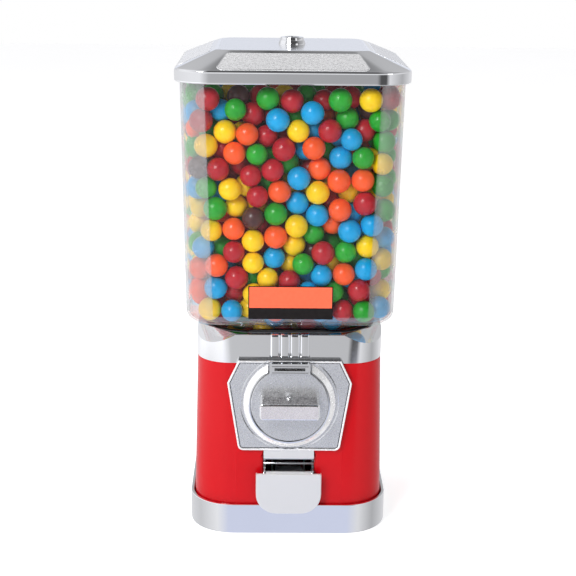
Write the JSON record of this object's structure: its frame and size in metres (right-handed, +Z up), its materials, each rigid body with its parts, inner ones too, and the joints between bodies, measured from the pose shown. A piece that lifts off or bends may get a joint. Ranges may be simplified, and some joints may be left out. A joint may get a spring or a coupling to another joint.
{
  "type": "candy dispenser",
  "caption": "Coin-operated candy dispenser: a clear square globe on a tapered body with a turning dial, pocket wheel, chute flap and lockable lid.",
  "frame": {"origin": "centre of the underside of the base, on the floor", "axes": "+Z up, the front with the coin mechanism faces -Y, +X to the right seen from the front"},
  "size_m": [0.2016, 0.2158, 0.4399],
  "materials": {
    "base_chrome": "bright chrome plate on a casting",
    "foot_rubber": "matt black",
    "rod_steel": "zinc plated",
    "nut_steel": "zinc plated",
    "body_red": "gloss red enamel",
    "collar_chrome": "bright chrome plate on a casting",
    "gasket_rubber": "matt black",
    "globe_clear": "clear moulded plastic",
    "label_print": "printed sticker, orange over black",
    "pan_plastic": "moulded",
    "cover_steel": "plain",
    "screw_steel": "zinc plated",
    "wheel_plastic": "moulded",
    "bush_brass": "turned",
    "agitator_steel": "plain",
    "ramp_steel": "folded sheet",
    "throat_steel": "polished sheet",
    "pin_steel": "polished",
    "flap_metal": "satin",
    "plate_chrome": "grained chrome casting with a polished edge",
    "ring_chrome": "polished",
    "slot_chrome": "polished",
    "dial_chrome": "grained chrome casting",
    "shaft_steel": "turned",
    "housing_zinc": "as cast",
    "carrier_brass": "cast",
    "ratchet_steel": "hardened",
    "spring_steel": "wire",
    "pinion_brass": "cut",
    "lid_chrome": "bright chrome with grained panels",
    "lock_chrome": "polished"
  },
  "bodies": {
    "housing": {"base_tray": "base_chrome", "rubber_feet": "foot_rubber", "centre_rod": "rod_steel", "rod_nut": "nut_steel", "body_shell": "body_red", "collar": "collar_chrome", "globe_gasket": "gasket_rubber", "globe": "globe_clear", "label": "label_print", "hopper_pan": "pan_plastic", "wheel_floor": "pan_plastic", "outlet_cover": "cover_steel", "cover_screw": "screw_steel", "chute_ramp": "ramp_steel", "chute_throat": "throat_steel", "flap_pin": "pin_steel", "coin_plate": "plate_chrome", "plate_screws": "screw_steel", "dial_ring": "ring_chrome", "coin_slot_frame": "slot_chrome", "shaft_bushes": "bush_brass", "mech_housing": "housing_zinc", "housing_screws": "screw_steel", "pawl_pin": "shaft_steel", "pawl_spring": "spring_steel"},
    "dial": {"dial_knob": "dial_chrome", "knob_set_screw": "screw_steel", "drive_shaft": "shaft_steel", "coin_carrier": "carrier_brass", "ratchet_wheel": "ratchet_steel", "drive_pinion": "pinion_brass", "shaft_clip": "spring_steel"},
    "wheel": {"candy_wheel": "wheel_plastic", "wheel_bush": "bush_brass", "agitator": "agitator_steel"},
    "flap": {"chute_flap": "flap_metal"},
    "pawl": {"pawl": "ratchet_steel"},
    "lid": {"lid": "lid_chrome", "lock_body": "lock_chrome", "lock_nut": "nut_steel"},
    "plug": {"lock_plug": "lock_chrome"}
  },
  "joints": [
    {"name": "dial_turn", "type": "hinge", "parent": "housing", "child": "dial", "pos_m": [0, -0.09, 0.1253], "axis": [0, 1, 0], "continuous": true},
    {"name": "wheel_turn", "type": "hinge", "parent": "housing", "child": "wheel", "pos_m": [0, 0, 0.15], "axis": [0, 0, 1], "continuous": true},
    {"name": "flap_swing", "type": "hinge", "parent": "housing", "child": "flap", "pos_m": [0, -0.088, 0.0575], "axis": [-1, 0, 0], "range_deg": [0, 80]},
    {"name": "pawl_lift", "type": "hinge", "parent": "housing", "child": "pawl", "pos_m": [-0.02078, -0.078, 0.1373], "axis": [0, -1, 0], "range_deg": [0, 6], "stiffness_Nm_per_rad": 0.02, "springref_deg": -17.19},
    {"name": "lid_lift", "type": "slide", "parent": "housing", "child": "lid", "axis": [0, 0, 1], "range_m": [0, 0.06]},
    {"name": "lock_turn", "type": "hinge", "parent": "lid", "child": "plug", "pos_m": [0, 0, 0.434], "axis": [0, 0, 1], "range_deg": [0, 90]}
  ],
  "couplings": [
    {"joint": "wheel_turn", "follows": "dial_turn", "ratio": 0.16667}
  ]
}
